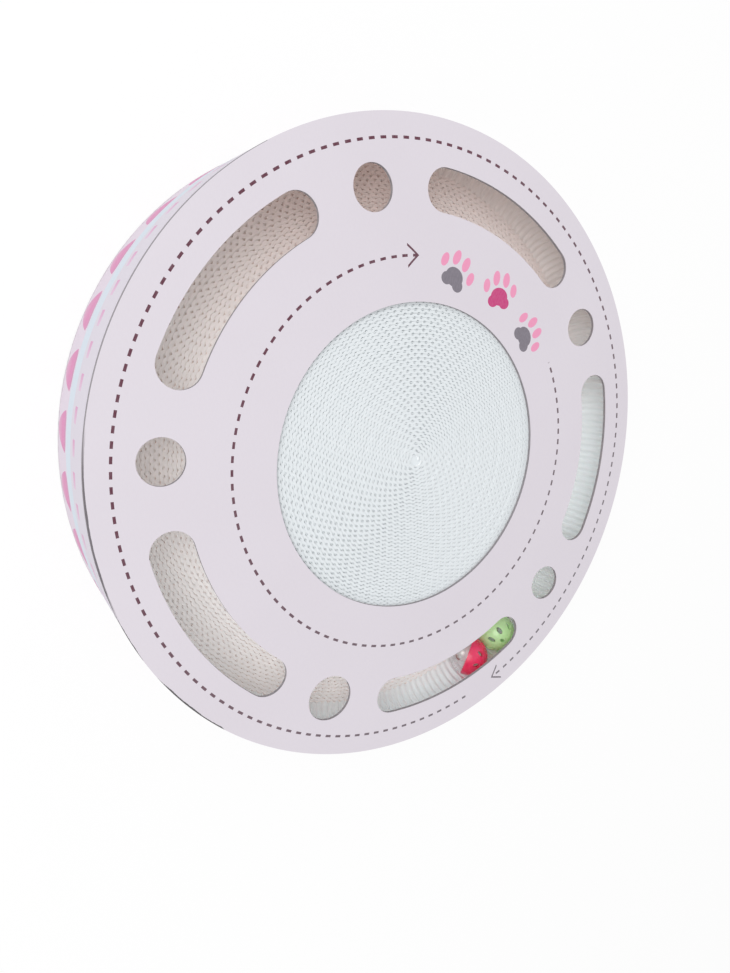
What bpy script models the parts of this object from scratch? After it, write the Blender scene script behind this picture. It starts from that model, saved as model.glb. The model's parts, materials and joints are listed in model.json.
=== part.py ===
"""Round cardboard cat scratcher with a wound pad and a covered track for two rattle balls.

The drum lies flat with its printed face up. The origin is at the middle of its underside, +Z is up,
and one of the curved slots is centred on +X. Sizes are in metres.
"""
from math import acos, asin, cos, degrees, pi, radians, sin

import bmesh
import bpy
from mathutils import Matrix, Vector
from mathutils.geometry import intersect_point_line

MM = 0.001

# Drum
OUTER_RADIUS = 200.0 * MM
BODY_HEIGHT = 80.0 * MM
TOP_THICKNESS = 2.0 * MM
BASE_THICKNESS = 2.5 * MM
WRAP_THICKNESS = 0.4 * MM
WALL_THICKNESS = 3.0 * MM
LINER_THICKNESS = 0.8 * MM
FLUTE_DEPTH = 2.2 * MM
FLUTE_PITCH = 5.07 * MM

# Clearance between pieces that are glued or rest on one another
SEAT_GAP = 0.3 * MM

# Track and pad
TRACK_WIDTH = 62.0 * MM
BALL_HEADROOM = 5.7 * MM
PAD_LIP = 33.5 * MM
COIL_CORE_RADIUS = 2.5 * MM
COIL_GAP = 0.8 * MM
PAD_TURNS = 20
FLOOR_TURNS = 9

# Openings of the top panel
OPENING_COUNT = 5
RIM_MARGIN = 25.4 * MM
SLOT_WIDTH = 25.2 * MM
SLOT_HALF_SPAN = radians(18.2)
HOLE_RADIUS = 12.9 * MM
LOADING_HOLE = 3
LOADING_CLEARANCE = 0.4 * MM

# Balls: two openwork halves that lap at the seam
BALL_RADIUS = 14.75 * MM
BALL_WALL = 1.6 * MM
SEAM_LAP = 2.0 * MM
BALLS_MIDWAY = radians(-57.05)
RED_POLE = Vector((0.68, -0.23, 0.70))
RED_SPIN = radians(-11.0)
GREEN_POLE = Vector((0.09, -0.34, 0.94))
GREEN_SPIN = radians(1.5)
WINDOW_LENGTH = 6.0 * MM
WINDOW_WIDTH = 3.6 * MM
WINDOW_ROWS = ((8, radians(57.0), 1.0), (4, radians(27.0), 0.75))

# Bells: two pressed shells with a flange between them, and a loose pellet
BELL_RADIUS = 6.5 * MM
BELL_WALL = 0.5 * MM
BELL_FLANGE = 0.6 * MM
BELL_SLOT_WIDTH = 1.6 * MM
BELL_SLOT_LENGTH = 8.0 * MM
PELLET_RADIUS = 2.0 * MM

# Facets
RIM_FACETS = 96
OPENING_FACETS = 72
HOLE_FACETS = 24
SLOT_ARC_FACETS = 8
SLOT_END_FACETS = 8
PAD_TURN_FACETS = 24
FLOOR_TURN_FACETS = 28
BALL_FACETS = 20
BALL_ARC_FACETS = 6
BELL_FACETS = 16
BELL_ARC_FACETS = 4
WINDOW_FACETS = 8
PELLET_FACETS = 12

# Points of a turned section this close on its axis become one
MERGE_DISTANCE = 0.01 * MM

# Heights and radii that follow from the sizes above
WALL_LOW = BASE_THICKNESS + SEAT_GAP
TOP_LOW = BODY_HEIGHT - TOP_THICKNESS
WALL_HIGH = TOP_LOW - SEAT_GAP
WALL_RADIUS = OUTER_RADIUS - WRAP_THICKNESS - SEAT_GAP
LINING_RADIUS = WALL_RADIUS - WALL_THICKNESS - SEAT_GAP
TRACK_OUTER_RADIUS = LINING_RADIUS - LINER_THICKNESS - FLUTE_DEPTH
PAD_RADIUS = TRACK_OUTER_RADIUS - TRACK_WIDTH
PAD_OPENING_RADIUS = PAD_RADIUS - PAD_LIP
FLOOR_HIGH = TOP_LOW - BALL_HEADROOM - 2 * BALL_RADIUS - SEAT_GAP
SLOT_MID_RADIUS = OUTER_RADIUS - RIM_MARGIN - SLOT_WIDTH / 2
LOADING_HOLE_RADIUS = BALL_RADIUS + LOADING_CLEARANCE

BALL_ORBIT_RADIUS = TRACK_OUTER_RADIUS - SEAT_GAP - BALL_RADIUS
BALL_HEIGHT = FLOOR_HIGH + SEAT_GAP + BALL_RADIUS
BALL_SPACING = 2 * asin((2 * BALL_RADIUS + SEAT_GAP) / (2 * BALL_ORBIT_RADIUS))
BALL_INNER_RADIUS = BALL_RADIUS - BALL_WALL
SEAM_RADIUS = (BALL_RADIUS + BALL_INNER_RADIUS) / 2
WINDOW_CUT_DEPTH = 3 * BALL_WALL
BELL_DROP = BALL_INNER_RADIUS - SEAT_GAP - BELL_RADIUS
PELLET_DROP = BELL_RADIUS - BELL_WALL - SEAT_GAP - PELLET_RADIUS

# Colours (linear RGB), roughness and metallic value of each finish
FINISHES = {
    "printed_board": ((0.73, 0.68, 0.74), 0.55, 0.0),
    "printed_paper": ((0.86, 0.66, 0.78), 0.50, 0.0),
    "kraft_board": ((0.52, 0.44, 0.38), 0.80, 0.0),
    "white_corrugated": ((0.74, 0.77, 0.79), 0.80, 0.0),
    "red_plastic": ((0.78, 0.03, 0.10), 0.25, 0.0),
    "green_plastic": ((0.50, 0.75, 0.36), 0.25, 0.0),
    "pale_plastic": ((0.62, 0.62, 0.68), 0.25, 0.0),
    "bell_metal": ((0.75, 0.74, 0.72), 0.25, 1.0),
}


def clear_scene():
    """Remove whatever the file starts with."""
    for item in list(bpy.data.objects):
        bpy.data.objects.remove(item)


def new_collection(name):
    """Add a collection to the scene."""
    collection = bpy.data.collections.new(name)
    bpy.context.scene.collection.children.link(collection)
    return collection


def finish_material(piece_name, finish):
    """Make a piece's own material from its finish."""
    colour, roughness, metallic = FINISHES[finish]
    material = bpy.data.materials.new(f"{piece_name}_{finish}")
    material.use_nodes = True
    shader = material.node_tree.nodes["Principled BSDF"]
    shader.inputs["Base Color"].default_value = (*colour, 1.0)
    shader.inputs["Roughness"].default_value = roughness
    shader.inputs["Metallic"].default_value = metallic
    return material


def polar(radius, angle):
    """Give the point at a radius and an angle about the drum's axis."""
    return (radius * cos(angle), radius * sin(angle))


def circle(radius, facets, centre=(0.0, 0.0)):
    """Give the outline of a round edge."""
    points = (polar(radius, 2 * pi * step / facets) for step in range(facets))
    return [(centre[0] + x, centre[1] + y) for x, y in points]


def arc_points(radius, start, end, facets, centre=(0.0, 0.0)):
    """Give points along an arc, both ends included."""
    angles = (start + (end - start) * step / facets for step in range(facets + 1))
    return [(centre[0] + x, centre[1] + y) for x, y in (polar(radius, angle) for angle in angles)]


def slot_outline(mid_angle):
    """Give a curved slot with round ends, centred at an angle."""
    half = SLOT_WIDTH / 2
    low = mid_angle - SLOT_HALF_SPAN
    high = mid_angle + SLOT_HALF_SPAN
    outer = arc_points(SLOT_MID_RADIUS + half, low, high, SLOT_ARC_FACETS)
    high_end = arc_points(half, high, high + pi, SLOT_END_FACETS, polar(SLOT_MID_RADIUS, high))
    inner = arc_points(SLOT_MID_RADIUS - half, high, low, SLOT_ARC_FACETS)
    low_end = arc_points(half, low + pi, low + 2 * pi, SLOT_END_FACETS, polar(SLOT_MID_RADIUS, low))
    return outer + high_end[1:-1] + inner + low_end[1:-1]


def fluted_outline(crest_radius, valley_radius, pitch):
    """Give a closed ring of flutes whose crests point inwards."""
    flutes = round(2 * pi * crest_radius / pitch)
    points = []
    for step in range(2 * flutes):
        radius = valley_radius if step % 2 else crest_radius
        points.append(polar(radius, pi * step / flutes))
    return points


def spiral_edges(inner_radius, outer_radius, turns, facets):
    """Give the inner and outer edges of a strip wound with a steady gap between its turns."""
    pitch = (outer_radius - inner_radius + COIL_GAP) / (turns + 1)
    thickness = pitch - COIL_GAP
    inner = []
    outer = []
    for step in range(turns * facets + 1):
        angle = 2 * pi * step / facets
        radius = inner_radius + pitch * step / facets
        inner.append(polar(radius, angle))
        outer.append(polar(radius + thickness, angle))
    return inner, outer


def least_turn_gap(inner, outer, facets):
    """Measure the least distance from a turn's outer edge to the next turn's inner edge."""
    least = float("inf")
    for step in range(1, len(outer) - facets):
        point = Vector(outer[step])
        for first in (step + facets - 1, step + facets):
            start = Vector(inner[first])
            end = Vector(inner[min(first + 1, len(inner) - 1)])
            if start == end:
                continue
            nearest, share = intersect_point_line(point, start, end)
            if 0.0 <= share <= 1.0:
                least = min(least, (nearest - point).length)
    return least


def flat_piece(name, outlines, low, high, finish, parts):
    """Make a flat piece from its outlines, the outer one and any holes, between two heights."""
    outline = bpy.data.curves.new(name, "CURVE")
    outline.dimensions = "2D"
    outline.fill_mode = "BOTH"
    outline.extrude = (high - low) / 2
    for points in outlines:
        spline = outline.splines.new("POLY")
        spline.points.add(len(points) - 1)
        for point, (x, y) in zip(spline.points, points):
            point.co = (x, y, 0.0, 1.0)
        spline.use_cyclic_u = True
    outline.materials.append(finish_material(name, finish))
    piece = bpy.data.objects.new(name, outline)
    piece.location.z = (low + high) / 2
    parts.objects.link(piece)
    return piece


def wound_piece(name, radii, turns, facets, high, parts):
    """Make a strip wound on edge, standing on the base, and print its least gap to itself."""
    inner, outer = spiral_edges(*radii, turns, facets)
    print(f"{name}: least gap between turns {least_turn_gap(inner, outer, facets) / MM:.2f} mm")
    return flat_piece(name, [outer + inner[::-1]], WALL_LOW, high, "white_corrugated", parts)


def build_panels(parts):
    """Make the die-cut top panel and the plain base panel."""
    openings = [circle(PAD_OPENING_RADIUS, OPENING_FACETS)]
    for index in range(OPENING_COUNT):
        slot_angle = 2 * pi * index / OPENING_COUNT
        hole_angle = slot_angle + pi / OPENING_COUNT
        radius = LOADING_HOLE_RADIUS if index == LOADING_HOLE else HOLE_RADIUS
        openings.append(slot_outline(slot_angle))
        openings.append(circle(radius, HOLE_FACETS, polar(SLOT_MID_RADIUS, hole_angle)))
    rim = circle(OUTER_RADIUS, RIM_FACETS)
    flat_piece("top_panel", [rim] + openings, TOP_LOW, BODY_HEIGHT, "printed_board", parts)
    flat_piece("base_panel", [rim], 0.0, BASE_THICKNESS, "kraft_board", parts)


def build_side(parts):
    """Make the printed wrap, the board wall and its fluted lining."""
    wrap = [circle(OUTER_RADIUS, RIM_FACETS), circle(OUTER_RADIUS - WRAP_THICKNESS, RIM_FACETS)]
    wall = [circle(WALL_RADIUS, RIM_FACETS), circle(WALL_RADIUS - WALL_THICKNESS, RIM_FACETS)]
    flutes = fluted_outline(TRACK_OUTER_RADIUS, TRACK_OUTER_RADIUS + FLUTE_DEPTH, FLUTE_PITCH)
    lining = [circle(LINING_RADIUS, RIM_FACETS), flutes]
    flat_piece("side_wrap", wrap, WALL_LOW, WALL_HIGH, "printed_paper", parts)
    flat_piece("outer_wall", wall, WALL_LOW, WALL_HIGH, "kraft_board", parts)
    flat_piece("wall_lining", lining, WALL_LOW, WALL_HIGH, "white_corrugated", parts)


def build_coils(parts):
    """Make the tall wound pad and the lower wound floor round it."""
    facet_lift = 1 / cos(pi / FLOOR_TURN_FACETS)
    pad_radii = (COIL_CORE_RADIUS, PAD_RADIUS)
    floor_radii = ((PAD_RADIUS + SEAT_GAP) * facet_lift, TRACK_OUTER_RADIUS - SEAT_GAP)
    wound_piece("pad_coil", pad_radii, PAD_TURNS, PAD_TURN_FACETS, WALL_HIGH, parts)
    wound_piece("floor_coil", floor_radii, FLOOR_TURNS, FLOOR_TURN_FACETS, FLOOR_HIGH, parts)


def upright_arc(radius, start_height, end_height, facets):
    """Give points (x, z) along a ball's meridian between two heights."""
    start = acos(start_height / radius)
    end = acos(end_height / radius)
    angles = (start + (end - start) * step / facets for step in range(facets + 1))
    return [(radius * sin(angle), radius * cos(angle)) for angle in angles]


def coloured_half_profile():
    """Give the upper half's section, with a skirt over the lower half's tongue."""
    skirt = SEAM_RADIUS + SEAT_GAP / 2
    shoulder = SEAM_LAP / 2 + SEAT_GAP
    outside = upright_arc(BALL_RADIUS, BALL_RADIUS, -SEAM_LAP / 2, BALL_ARC_FACETS)
    inside = upright_arc(BALL_INNER_RADIUS, shoulder, BALL_INNER_RADIUS, BALL_ARC_FACETS)
    return outside + [(skirt, -SEAM_LAP / 2), (skirt, shoulder)] + inside


def pale_half_profile():
    """Give the lower half's section, with a tongue inside the upper half's skirt."""
    tongue = SEAM_RADIUS - SEAT_GAP / 2
    shoulder = -SEAM_LAP / 2 - SEAT_GAP
    inside = upright_arc(BALL_INNER_RADIUS, -BALL_INNER_RADIUS, SEAM_LAP / 2, BALL_ARC_FACETS)
    outside = upright_arc(BALL_RADIUS, shoulder, -BALL_RADIUS, BALL_ARC_FACETS)
    return inside + [(tongue, SEAM_LAP / 2), (tongue, shoulder)] + outside


def bell_cap_profile():
    """Give the section of the bell's upper shell, with its flange."""
    low = SEAT_GAP / 2
    high = low + BELL_WALL
    flange = BELL_RADIUS + BELL_FLANGE
    outside = upright_arc(BELL_RADIUS, BELL_RADIUS, high, BELL_ARC_FACETS)
    inner_radius = BELL_RADIUS - BELL_WALL
    inside = upright_arc(inner_radius, low, inner_radius, BELL_ARC_FACETS)
    return outside + [(flange, high), (flange, low)] + inside


def bell_cup_profile():
    """Give the section of the bell's lower shell: the upper one turned over."""
    return [(x, -z) for x, z in reversed(bell_cap_profile())]


def turned_piece(name, profile, facets, finish, parts):
    """Make a turned piece from a section (x, z) that starts and ends on its axis."""
    mesh = bpy.data.meshes.new(name)
    points = [(x, 0.0, z) for x, z in profile]
    mesh.from_pydata(points, [(step, step + 1) for step in range(len(points) - 1)], [])
    mesh.materials.append(finish_material(name, finish))
    piece = bpy.data.objects.new(name, mesh)
    parts.objects.link(piece)
    screw = piece.modifiers.new("turn", "SCREW")
    screw.steps = facets
    screw.render_steps = facets
    screw.use_merge_vertices = True
    screw.merge_threshold = MERGE_DISTANCE
    screw.use_smooth_shade = True
    return piece


def new_cutter(name, mesh_maker, cutters):
    """Make a hidden cutter from a function that fills a mesh."""
    shape = bmesh.new()
    mesh_maker(shape)
    mesh = bpy.data.meshes.new(name)
    shape.to_mesh(mesh)
    shape.free()
    cutter = bpy.data.objects.new(name, mesh)
    cutter.hide_render = True
    cutter.display_type = "WIRE"
    cutters.objects.link(cutter)
    return cutter


def fill_windows(shape):
    """Add one oval prism, pointing outwards, for each window of the upper half."""
    for count, polar_angle, share in WINDOW_ROWS:
        for index in range(count):
            turn = Matrix.Rotation(2 * pi * (index + 0.5) / count, 4, "Z")
            tilt = Matrix.Rotation(polar_angle, 4, "Y")
            shift = Matrix.Translation((0.0, 0.0, SEAM_RADIUS))
            oval = Matrix.Diagonal((WINDOW_LENGTH / 2 * share, WINDOW_WIDTH / 2 * share, 1.0, 1.0))
            bmesh.ops.create_cone(
                shape, cap_ends=True, segments=WINDOW_FACETS, radius1=1.0, radius2=1.0,
                depth=WINDOW_CUT_DEPTH, matrix=turn @ tilt @ shift @ oval)


def fill_bell_slot(shape):
    """Add the bar that cuts the bell's slot."""
    place = Matrix.Translation((0.0, 0.0, -BELL_RADIUS))
    size = Matrix.Diagonal((BELL_SLOT_LENGTH, BELL_SLOT_WIDTH, BELL_RADIUS, 1.0))
    bmesh.ops.create_cube(shape, size=1.0, matrix=place @ size)


def cut(piece, cutter):
    """Cut a piece with a cutter."""
    boolean = piece.modifiers.new("cut", "BOOLEAN")
    boolean.operation = "DIFFERENCE"
    boolean.object = cutter


def new_pivot(name, location, parent, parts):
    """Add an empty on a joint's axis."""
    pivot = bpy.data.objects.new(name, None)
    pivot.location = location
    pivot.parent = parent
    parts.objects.link(pivot)
    return pivot


def build_bell(colour, ball_pivot, parts, cutters):
    """Make the bell that lies in a ball, and its loose pellet."""
    pivot = new_pivot(f"{colour}_bell_pivot", (0.0, 0.0, -BELL_DROP), ball_pivot, parts)
    cap = turned_piece(f"{colour}_bell_cap", bell_cap_profile(), BELL_FACETS, "bell_metal", parts)
    cup = turned_piece(f"{colour}_bell_cup", bell_cup_profile(), BELL_FACETS, "bell_metal", parts)
    slot = new_cutter(f"{colour}_bell_slot", fill_bell_slot, cutters)
    cut(cup, slot)
    bpy.ops.mesh.primitive_uv_sphere_add(
        segments=PELLET_FACETS, ring_count=PELLET_FACETS // 2, radius=PELLET_RADIUS)
    pellet = bpy.context.object
    pellet.name = f"{colour}_bell_pellet"
    pellet.data.materials.append(finish_material(pellet.name, "bell_metal"))
    pellet.location.z = -PELLET_DROP
    pellet.data.shade_smooth()
    for holder in list(pellet.users_collection):
        holder.objects.unlink(pellet)
    parts.objects.link(pellet)
    for item in (cap, cup, slot, pellet):
        item.parent = pivot


def build_ball(colour, angle, pole, spin, parts, cutters):
    """Make a ball at its place in the track: two openwork halves, a bell and its pellet."""
    orbit = new_pivot(f"{colour}_orbit_pivot", (0.0, 0.0, BALL_HEIGHT), None, parts)
    centre = (*polar(BALL_ORBIT_RADIUS, angle), 0.0)
    ball_pivot = new_pivot(f"{colour}_roll_pivot", centre, orbit, parts)
    upper = turned_piece(f"{colour}_half", coloured_half_profile(), BALL_FACETS,
                         f"{colour}_plastic", parts)
    lower = turned_piece(f"{colour}_ball_pale_half", pale_half_profile(), BALL_FACETS,
                         "pale_plastic", parts)
    upward = pole.to_track_quat("Z", "Y") @ Matrix.Rotation(spin, 3, "Z").to_quaternion()
    downward = upward @ Matrix.Rotation(pi, 3, "X").to_quaternion()
    for half, turn in ((upper, upward), (lower, downward)):
        windows = new_cutter(f"{half.name}_windows", fill_windows, cutters)
        cut(half, windows)
        windows.parent = ball_pivot
        windows.rotation_mode = "QUATERNION"
        windows.rotation_quaternion = turn
        half.parent = ball_pivot
        half.rotation_mode = "QUATERNION"
        half.rotation_quaternion = upward
    build_bell(colour, ball_pivot, parts, cutters)
    print(f"{colour} ball: centre {tuple(round(v / MM, 2) for v in centre[:2])} mm, "
          f"height {BALL_HEIGHT / MM:.2f} mm, angle {degrees(angle):.2f} degrees")


def main():
    """Build every piece of the scratcher."""
    clear_scene()
    parts = new_collection("cat_scratcher")
    cutters = new_collection("cutters")
    build_panels(parts)
    build_side(parts)
    build_coils(parts)
    build_ball("red", BALLS_MIDWAY - BALL_SPACING / 2, RED_POLE, RED_SPIN, parts, cutters)
    build_ball("green", BALLS_MIDWAY + BALL_SPACING / 2, GREEN_POLE, GREEN_SPIN, parts, cutters)


main()
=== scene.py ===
"""Looks of a round cardboard cat scratcher with a wound pad and a covered track for two rattle balls.

The drum lies flat with its printed face up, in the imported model's own frame and in metres.
"""

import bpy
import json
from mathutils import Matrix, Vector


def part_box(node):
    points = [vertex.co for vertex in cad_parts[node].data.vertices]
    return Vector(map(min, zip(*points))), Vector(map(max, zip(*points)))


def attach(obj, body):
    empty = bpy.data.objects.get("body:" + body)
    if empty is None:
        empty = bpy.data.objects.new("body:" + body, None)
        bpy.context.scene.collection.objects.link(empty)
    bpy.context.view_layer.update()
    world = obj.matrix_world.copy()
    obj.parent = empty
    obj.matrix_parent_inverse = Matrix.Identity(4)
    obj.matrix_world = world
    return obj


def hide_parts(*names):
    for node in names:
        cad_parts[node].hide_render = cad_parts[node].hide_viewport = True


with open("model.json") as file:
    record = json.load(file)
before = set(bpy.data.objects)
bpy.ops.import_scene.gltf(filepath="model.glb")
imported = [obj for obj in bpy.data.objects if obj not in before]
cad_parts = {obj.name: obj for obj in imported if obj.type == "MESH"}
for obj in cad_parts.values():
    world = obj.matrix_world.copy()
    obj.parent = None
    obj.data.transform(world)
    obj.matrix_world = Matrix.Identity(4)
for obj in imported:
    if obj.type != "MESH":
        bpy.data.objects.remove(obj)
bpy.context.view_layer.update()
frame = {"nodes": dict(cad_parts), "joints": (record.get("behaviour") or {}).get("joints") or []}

import json
import logging
from abc import ABC, abstractmethod
from dataclasses import dataclass, field
from enum import Enum
from math import acos, ceil, cos, pi, radians, sin, tan, tau
from typing import Any, Callable, Iterable, Optional, Sequence, Union

import bpy
import numpy as np
from bpy.types import Material, Object
from mathutils import Matrix, Quaternion, Vector

LOG = logging.getLogger("scratcher")
MM = 0.001
MERGE_DISTANCE = 1e-6
SHARP_EDGE = radians(50.0)
UP = (0.0, 0.0, 1.0)
WHITE_LIGHT = (1.0, 1.0, 1.0, 1.0)
DRUM = "scratcher"
MIX_AMOUNT, MIX_FIRST, MIX_SECOND, MIX_RESULT = 0, 6, 7, 2
Looks = dict[str, Material]
Section = list[tuple[float, float]]
Oval = tuple[float, float, float, float]
SocketKey = Union[str, int]


class Slot(Enum):
    """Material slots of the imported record."""

    PRINTED_BOARD = "printed_board"
    PRINTED_PAPER = "printed_paper"
    KRAFT_BOARD = "kraft_board"
    WHITE_CORRUGATED = "white_corrugated"
    RED_PLASTIC = "red_plastic"
    GREEN_PLASTIC = "green_plastic"
    PALE_PLASTIC = "pale_plastic"
    BELL_METAL = "bell_metal"


# Shader maths


def math_method(operation: str, reflected: bool = False) -> Callable[..., "Signal"]:
    """Make a method of Signal that adds one Math node.

    Args:
        operation: what the node does.
        reflected: whether the signal stands on the right.

    Returns:
        The method.
    """

    def add_node(signal: "Signal", *others: "Operand") -> "Signal":
        """Add the node on the signal and the other value."""
        return signal.tree.math(operation, *((*others, signal) if reflected else (signal, *others)))

    return add_node


class Signal:
    """One shader socket that takes part in Python expressions, with & and | for masks."""

    def __init__(self, tree: "FinishTree", node: bpy.types.Node, output: SocketKey) -> None:
        """Keep the node, and which of its outputs is meant.

        Args:
            tree: the tree that the node is in.
            node: the node.
            output: name or number of the output.
        """
        self.tree = tree
        self.node = node
        self.output = output

    @property
    def socket(self) -> bpy.types.NodeSocket:
        """The socket itself."""
        return self.node.outputs[self.output]

    def other(self, output: SocketKey) -> "Signal":
        """Another output of the same node."""
        return Signal(self.tree, self.node, output)

    __add__ = __radd__ = math_method("ADD")
    __sub__ = math_method("SUBTRACT")
    __rsub__ = math_method("SUBTRACT", reflected=True)
    __mul__ = __rmul__ = __and__ = math_method("MULTIPLY")
    __truediv__ = math_method("DIVIDE")
    __rtruediv__ = math_method("DIVIDE", reflected=True)
    __mod__ = math_method("FLOORED_MODULO")
    __pow__ = math_method("POWER")
    __lt__ = math_method("LESS_THAN")
    __gt__ = math_method("GREATER_THAN")
    __or__ = math_method("MAXIMUM")
    __abs__ = math_method("ABSOLUTE")


Operand = Union[Signal, float]
Inputs = dict[SocketKey, Union[Signal, float, Sequence[float]]]


@dataclass(frozen=True)
class Colour:
    """A display colour in steps of 0 to 255."""

    red: float
    green: float
    blue: float

    def linear(self) -> tuple[float, float, float, float]:
        """The same colour as a shader wants it."""
        return (*(self._unbend(step / 255) for step in (self.red, self.green, self.blue)), 1.0)

    @staticmethod
    def _unbend(value: float) -> float:
        """One channel from display value to light."""
        return value / 12.92 if value <= 0.04045 else ((value + 0.055) / 1.055) ** 2.4


class FinishTree:
    """The node tree of one material, filled by expressions."""

    def __init__(self, owner: bpy.types.ID) -> None:
        """Empty the tree of a material or world.

        Args:
            owner: the material or world.
        """
        owner.use_nodes = True
        self.nodes = owner.node_tree.nodes
        self.links = owner.node_tree.links
        self.nodes.clear()

    def node(
        self,
        kind: str,
        settings: Optional[dict[str, Any]] = None,
        inputs: Optional[Inputs] = None,
        output: SocketKey = 0,
    ) -> Signal:
        """Add any node.

        Args:
            kind: the node's type.
            settings: what is set on the node before its sockets.
            inputs: a value or a signal for each socket, by name or number.
            output: the output that is wanted, by name or number.

        Returns:
            That output.
        """
        made = self.nodes.new(kind)
        for key, value in (settings or {}).items():
            setattr(made, key, value)
        for key, value in (inputs or {}).items():
            if isinstance(value, Signal):
                self.links.new(value.socket, made.inputs[key])
            else:
                made.inputs[key].default_value = value
        return Signal(self, made, output)

    def math(self, operation: str, *values: Operand) -> Signal:
        """Add a Math node on values or signals."""
        return self.node("ShaderNodeMath", {"operation": operation}, dict(enumerate(values)))

    def mix(self, amount: Operand, first: Union[Signal, Colour], second: Union[Signal, Colour]) -> Signal:
        """Blend two colours.

        Args:
            amount: 0 gives the first, 1 the second.
            first: one colour.
            second: the other colour.

        Returns:
            The blend.
        """
        ends = [end.linear() if isinstance(end, Colour) else end for end in (first, second)]
        values = {MIX_AMOUNT: amount, MIX_FIRST: ends[0], MIX_SECOND: ends[1]}
        return self.node("ShaderNodeMix", {"data_type": "RGBA"}, values, MIX_RESULT)

    def place(self) -> Signal:
        """The point on the piece, in the frame of the piece."""
        return self.node("ShaderNodeTexCoord", output="Object")

    def split(self, vector: Signal) -> tuple[Signal, Signal, Signal]:
        """The three parts of a vector."""
        first = self.node("ShaderNodeSeparateXYZ", inputs={0: vector})
        return first, first.other(1), first.other(2)

    def facing_up(self) -> Signal:
        """How far the surface faces up: 1 up, -1 down."""
        return self.split(self.node("ShaderNodeNewGeometry", output="Normal"))[2]

    def noise(self, place: Signal, size: float, detail: float = 3.0, roughness: float = 0.55) -> Signal:
        """Soft random mottling about 0.5, with blotches of a size in metres."""
        values = {"Vector": place, "Scale": 1 / size, "Detail": detail, "Roughness": roughness}
        return self.node("ShaderNodeTexNoise", {"noise_dimensions": "3D"}, values)

    def stretched(self, place: Signal, *scale: float) -> Signal:
        """The place with each axis scaled, so that a pattern runs along one of them."""
        return self.node("ShaderNodeVectorMath", {"operation": "MULTIPLY"}, {0: place, 1: scale})

    def seen(self) -> Signal:
        """Mask of the rays that come from the camera, a mirror or a clear surface."""
        path = self.node("ShaderNodeLightPath", output="Is Camera Ray")
        return (path | path.other("Is Glossy Ray")) | path.other("Is Transmission Ray")

    def bump(self, height: Signal, depth: float, strength: float = 1.0) -> Signal:
        """A surface normal from a height pattern of a real depth."""
        return self.node("ShaderNodeBump", None, {"Height": height, "Distance": depth, "Strength": strength})

    def surface(self, inputs: Inputs) -> None:
        """End the tree in a Principled surface with these sockets."""
        self.end(self.node("ShaderNodeBsdfPrincipled", None, inputs))

    def end(self, shader: Signal, kind: str = "ShaderNodeOutputMaterial") -> None:
        """Link a shader to the tree's output."""
        self.node(kind, None, {"Surface": shader})


def toward(x: Signal, y: Signal, heading: float) -> Signal:
    """How far a point lies toward a heading, in plan."""
    return x * cos(heading) + y * sin(heading)


# Finishes


class Finish(ABC):
    """A surface finish that makes its own material."""

    @abstractmethod
    def shade(self, tree: FinishTree) -> None:
        """Fill the tree of the new material."""

    def make(self, name: str) -> Material:
        """Make the material.

        Args:
            name: the material's name.

        Returns:
            The material.
        """
        material = bpy.data.materials.new(name)
        self.shade(FinishTree(material))
        return material


@dataclass(frozen=True)
class DashedRing:
    """A printed dashed circle that ends in an open arrowhead.

    The dashes run anticlockwise from the tip of the arrowhead, which points clockwise.
    """

    radius: float
    tip: float
    span: float
    dashes: int
    lead: float
    width: float = 1.6 * MM
    stroke: float = 1.2 * MM
    share: float = 0.5
    arm_reach: float = 7.4 * MM
    arm_angle: float = radians(40.0)

    def mask(self, radius: Signal, angle: Signal) -> Signal:
        """Where the ring is printed.

        Args:
            radius: distance from the middle of the face.
            angle: angle about the middle of the face.

        Returns:
            1 on the print and 0 off it.
        """
        ahead = (angle - self.tip) % tau
        across = abs(radius - self.radius)
        dash = (ahead * (self.dashes / self.span) + self.lead) % 1.0 < self.share
        line = (across < self.width / 2) & dash & (ahead < self.span)
        along = ((angle - (self.tip - pi)) % tau - pi) * self.radius
        arm = abs(across - along * tan(self.arm_angle)) < self.stroke / 2 / cos(self.arm_angle)
        return line | (arm & (along < self.arm_reach) & (along > -self.stroke))


@dataclass(frozen=True)
class PawPrint:
    """A printed paw with a broad pad and four toes."""

    radius: float
    angle: float
    turn: float
    pad_ink: Colour
    size: float = 14.0 * MM
    pad_middle: Oval = (0.0, -0.22, 0.50, 0.40)
    pad_lobe: Oval = (0.34, -0.46, 0.30, 0.27)
    inner_toe: Oval = (0.30, 0.56, 0.20, 0.33)
    outer_toe: Oval = (0.82, 0.16, 0.19, 0.30)

    def masks(self, x: Signal, y: Signal) -> tuple[Signal, Signal]:
        """Where the pad and the toes are printed.

        Args:
            x: first coordinate on the face.
            y: second coordinate on the face.

        Returns:
            Masks of the pad and of the toes.
        """
        dx = (x - self.radius * cos(self.angle)) / self.size
        dy = (y - self.radius * sin(self.angle)) / self.size
        side = abs(toward(dx, dy, self.turn))
        up = dy * cos(self.turn) - dx * sin(self.turn)
        pad = self.spot(side, up, *self.pad_middle) | self.spot(side, up, *self.pad_lobe)
        toes = self.spot(side, up, *self.inner_toe) | self.spot(side, up, *self.outer_toe)
        return pad, toes

    @staticmethod
    def spot(side: Signal, up: Signal, at: float, high: float, wide: float, tall: float) -> Signal:
        """Mask of one oval, from its middle and its half width and height."""
        return ((side - at) / wide) ** 2.0 + ((up - high) / tall) ** 2.0 < 1.0


@dataclass(frozen=True)
class RimShadeMark:
    """A stretch of the panel's rim painted darker as painted shade, standing in for the shaded gap under the
    board's edge, from a radius that a ragged noise brings in.
    """

    colour: Colour
    heading: float
    reach: float
    radius: float
    raggedness: float = 0.0
    fade: float = 0.4 * MM


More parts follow.
